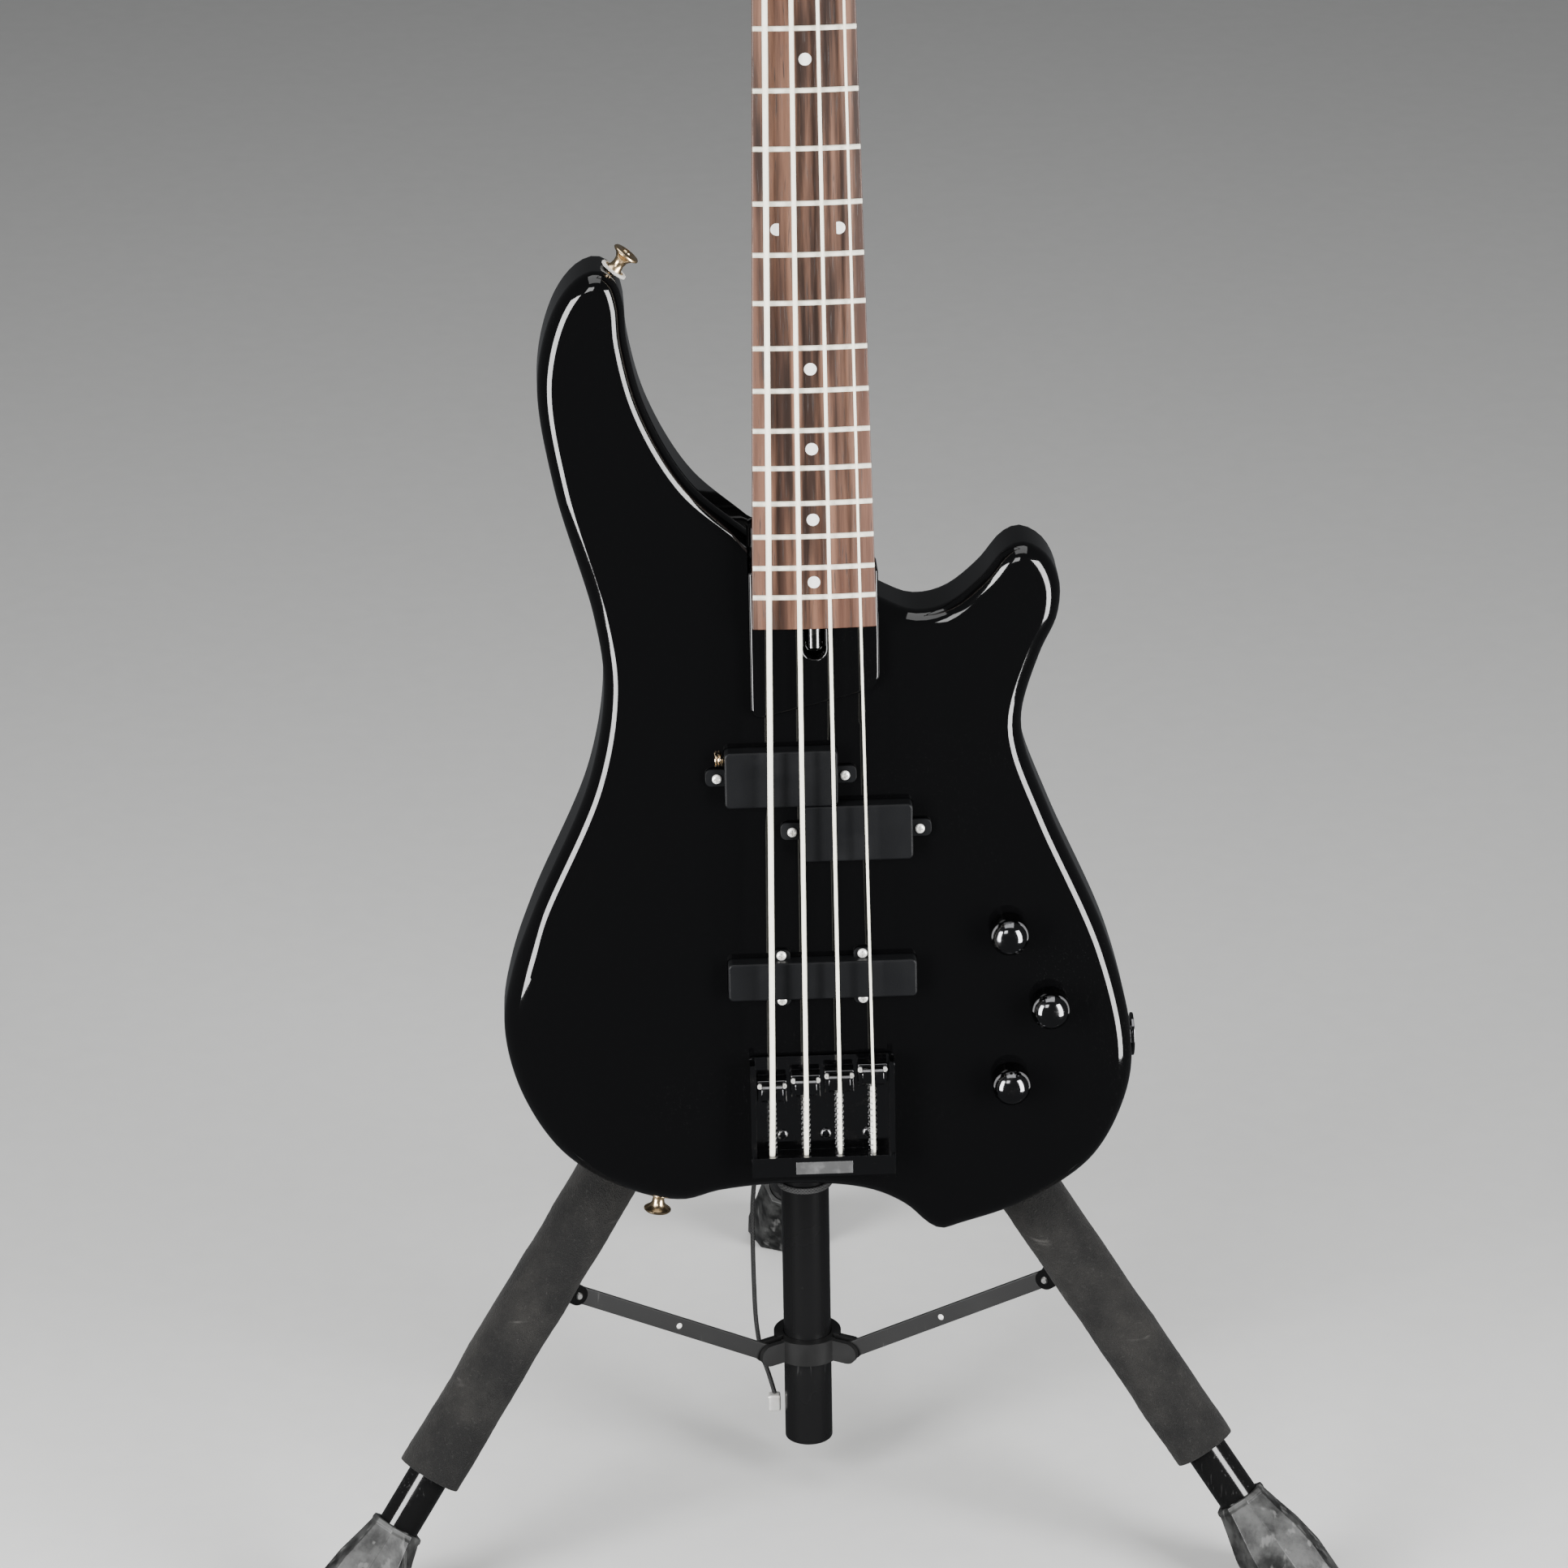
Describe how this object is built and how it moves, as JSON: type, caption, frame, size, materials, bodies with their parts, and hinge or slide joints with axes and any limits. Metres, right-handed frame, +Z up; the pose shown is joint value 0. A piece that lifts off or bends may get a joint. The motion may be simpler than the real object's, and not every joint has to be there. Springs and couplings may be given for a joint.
{
  "type": "electric bass guitar on a stand",
  "caption": "Black electric bass guitar hanging by its neck on a folding tripod stand with foam-covered front legs.",
  "frame": {"origin": "on the floor, under the centre of the bounding box", "axes": "+Z up along the stand; the instrument faces -Y; +X to its treble side"},
  "size_m": [0.5572, 0.491, 1.3606],
  "materials": {
    "lacquer": "black high-gloss lacquer",
    "rosewood": "oiled rosewood, open grain",
    "black_plastic": "plain black",
    "bone": "cream",
    "black_chrome": "polished black chrome",
    "bright_metal": "polished",
    "brass": "worn gold",
    "steel": "plain",
    "string_steel": "round-wound",
    "satin_black": "satin black",
    "gloss_black": "gloss black",
    "foam": "napped dark grey foam",
    "boot_rubber": "cloudy grey",
    "cord": "braided"
  },
  "bodies": {
    "stand_tube": {"lower_tube": "satin_black", "lower_collar": "black_plastic", "tie_cord": "cord", "cord_clip": "bright_metal"},
    "hub": {"hub": "black_plastic"},
    "clamp_knob": {"clamp_knob": "black_plastic"},
    "height_clutch": {"height_clutch": "black_plastic"},
    "upper_tube": {"upper_tube": "satin_black", "yoke": "satin_black", "yoke_pad_left": "foam", "yoke_pad_right": "foam"},
    "leg_left": {"leg_left": "gloss_black", "foam_sleeve_left": "foam", "foot_left": "boot_rubber"},
    "leg_right": {"leg_right": "gloss_black", "foam_sleeve_right": "foam", "foot_right": "boot_rubber"},
    "leg_rear": {"leg_rear": "gloss_black", "foot_rear": "boot_rubber"},
    "brace_left": {"brace_left": "satin_black"},
    "brace_right": {"brace_right": "satin_black"},
    "brace_rear": {"brace_rear": "satin_black"},
    "guitar": {"body": "lacquer", "neck": "lacquer", "fingerboard": "rosewood", "nut": "bone", "truss_rod": "steel", "neck_plate": "black_chrome", "pickup_split_e": "black_plastic", "pickup_split_g": "black_plastic", "pickup_bridge": "black_plastic", "bridge_plate": "black_chrome", "string_e": "string_steel", "string_a": "string_steel", "string_d": "string_steel", "string_g": "string_steel", "tuner_housing_e": "black_chrome", "tuner_housing_a": "black_chrome", "tuner_housing_d": "black_chrome", "tuner_housing_g": "black_chrome", "string_tree": "black_chrome", "strap_button_horn": "brass", "strap_button_end": "brass", "control_cover": "black_plastic", "output_jack": "black_chrome"},
    "saddle_e": {"saddle_e": "black_chrome"},
    "tuner_post_e": {"tuner_post_e": "black_chrome"},
    "tuner_key_e": {"tuner_key_e": "black_chrome"},
    "saddle_a": {"saddle_a": "black_chrome"},
    "tuner_post_a": {"tuner_post_a": "black_chrome"},
    "tuner_key_a": {"tuner_key_a": "black_chrome"},
    "saddle_d": {"saddle_d": "black_chrome"},
    "tuner_post_d": {"tuner_post_d": "black_chrome"},
    "tuner_key_d": {"tuner_key_d": "black_chrome"},
    "saddle_g": {"saddle_g": "black_chrome"},
    "tuner_post_g": {"tuner_post_g": "black_chrome"},
    "tuner_key_g": {"tuner_key_g": "black_chrome"},
    "knob_volume": {"knob_volume": "black_chrome"},
    "knob_blend": {"knob_blend": "black_chrome"},
    "knob_tone": {"knob_tone": "black_chrome"}
  },
  "joints": [
    {"name": "hub_slide", "type": "slide", "parent": "stand_tube", "child": "hub", "axis": [0, 0, 1], "range_m": [0, 0.0969]},
    {"name": "leg_left_hinge", "type": "hinge", "parent": "hub", "child": "leg_left", "pos_m": [-0.03204, -0.09391, 0.321], "axis": [0.5, -0.866, 0], "range_deg": [0, 32.47]},
    {"name": "brace_left_hinge", "type": "hinge", "parent": "leg_left", "child": "brace_left", "pos_m": [-0.12392, -0.14696, 0.15369], "axis": [-0.5, 0.866, 0], "range_deg": [0, 86.78]},
    {"name": "leg_right_hinge", "type": "hinge", "parent": "hub", "child": "leg_right", "pos_m": [0.03204, -0.09391, 0.321], "axis": [0.5, 0.866, 0], "range_deg": [0, 32.47]},
    {"name": "brace_right_hinge", "type": "hinge", "parent": "leg_right", "child": "brace_right", "pos_m": [0.12392, -0.14696, 0.15369], "axis": [-0.5, -0.866, 0], "range_deg": [0, 86.78]},
    {"name": "leg_rear_hinge", "type": "hinge", "parent": "hub", "child": "leg_rear", "pos_m": [0, -0.03841, 0.321], "axis": [-1, 0, 0], "range_deg": [0, 32.47]},
    {"name": "brace_rear_hinge", "type": "hinge", "parent": "leg_rear", "child": "brace_rear", "pos_m": [0, 0.06768, 0.15369], "axis": [1, 0, 0], "range_deg": [0, 86.78]},
    {"name": "clamp_knob_turn", "type": "hinge", "parent": "hub", "child": "clamp_knob", "pos_m": [0, -0.07541, 0.321], "axis": [0.866, 0.5, 0], "range_deg": [-180, 180]},
    {"name": "clutch_turn", "type": "hinge", "parent": "stand_tube", "child": "height_clutch", "pos_m": [0, -0.07541, 0], "axis": [0, 0, 1], "range_deg": [0, 90]},
    {"name": "height_slide", "type": "slide", "parent": "stand_tube", "child": "upper_tube", "axis": [0, 0, 1], "range_m": [0, 0.08]},
    {"name": "guitar_lift_off", "type": "slide", "parent": "upper_tube", "child": "guitar", "axis": [0, -0.8, 0.6], "range_m": [0, 0.12]},
    {"name": "knob_volume_turn", "type": "hinge", "parent": "guitar", "child": "knob_volume", "pos_m": [0.1005, -0.18896, 0.37255], "axis": [0, 0.999, -0.0436], "range_deg": [-150, 150]},
    {"name": "knob_blend_turn", "type": "hinge", "parent": "guitar", "child": "knob_blend", "pos_m": [0.121, -0.19075, 0.33159], "axis": [0, 0.999, -0.0436], "range_deg": [-150, 150]},
    {"name": "knob_tone_turn", "type": "hinge", "parent": "guitar", "child": "knob_tone", "pos_m": [0.101, -0.19254, 0.29063], "axis": [0, 0.999, -0.0436], "range_deg": [-150, 150]},
    {"name": "saddle_e_slide", "type": "slide", "parent": "guitar", "child": "saddle_e", "axis": [0, 0.0436, 0.999], "range_m": [-0.005, 0.005]},
    {"name": "saddle_a_slide", "type": "slide", "parent": "guitar", "child": "saddle_a", "axis": [0, 0.0436, 0.999], "range_m": [-0.005, 0.005]},
    {"name": "saddle_d_slide", "type": "slide", "parent": "guitar", "child": "saddle_d", "axis": [0, 0.0436, 0.999], "range_m": [-0.005, 0.005]},
    {"name": "saddle_g_slide", "type": "slide", "parent": "guitar", "child": "saddle_g", "axis": [0, 0.0436, 0.999], "range_m": [-0.005, 0.005]},
    {"name": "tuner_key_e_turn", "type": "hinge", "parent": "guitar", "child": "tuner_key_e", "pos_m": [-0.01755, -0.13125, 1.21283], "axis": [1, 0, 0], "continuous": true},
    {"name": "tuner_post_e_turn", "type": "hinge", "parent": "guitar", "child": "tuner_post_e", "pos_m": [-0.01755, -0.15176, 1.20172], "axis": [0, 0.999, -0.0436], "continuous": true},
    {"name": "tuner_key_a_turn", "type": "hinge", "parent": "guitar", "child": "tuner_key_a", "pos_m": [-0.00724, -0.12951, 1.2528], "axis": [1, 0, 0], "continuous": true},
    {"name": "tuner_post_a_turn", "type": "hinge", "parent": "guitar", "child": "tuner_post_a", "pos_m": [-0.00724, -0.15001, 1.24168], "axis": [0, 0.999, -0.0436], "continuous": true},
    {"name": "tuner_key_d_turn", "type": "hinge", "parent": "guitar", "child": "tuner_key_d", "pos_m": [0.00244, -0.12776, 1.29276], "axis": [1, 0, 0], "continuous": true},
    {"name": "tuner_post_d_turn", "type": "hinge", "parent": "guitar", "child": "tuner_post_d", "pos_m": [0.00244, -0.14827, 1.28164], "axis": [0, 0.999, -0.0436], "continuous": true},
    {"name": "tuner_key_g_turn", "type": "hinge", "parent": "guitar", "child": "tuner_key_g", "pos_m": [0.01149, -0.12602, 1.33272], "axis": [1, 0, 0], "continuous": true},
    {"name": "tuner_post_g_turn", "type": "hinge", "parent": "guitar", "child": "tuner_post_g", "pos_m": [0.01149, -0.14652, 1.3216], "axis": [0, 0.999, -0.0436], "continuous": true}
  ],
  "couplings": [
    {"joint": "leg_left_hinge", "follows": "hub_slide", "rad_per_m": 5.8472},
    {"joint": "brace_left_hinge", "follows": "hub_slide", "rad_per_m": 15.628},
    {"joint": "leg_right_hinge", "follows": "hub_slide", "rad_per_m": 5.8472},
    {"joint": "brace_right_hinge", "follows": "hub_slide", "rad_per_m": 15.628},
    {"joint": "leg_rear_hinge", "follows": "hub_slide", "rad_per_m": 5.8472},
    {"joint": "brace_rear_hinge", "follows": "hub_slide", "rad_per_m": 15.628},
    {"joint": "tuner_post_e_turn", "follows": "tuner_key_e_turn", "ratio": 0.05},
    {"joint": "tuner_post_a_turn", "follows": "tuner_key_a_turn", "ratio": 0.05},
    {"joint": "tuner_post_d_turn", "follows": "tuner_key_d_turn", "ratio": 0.05},
    {"joint": "tuner_post_g_turn", "follows": "tuner_key_g_turn", "ratio": 0.05}
  ]
}
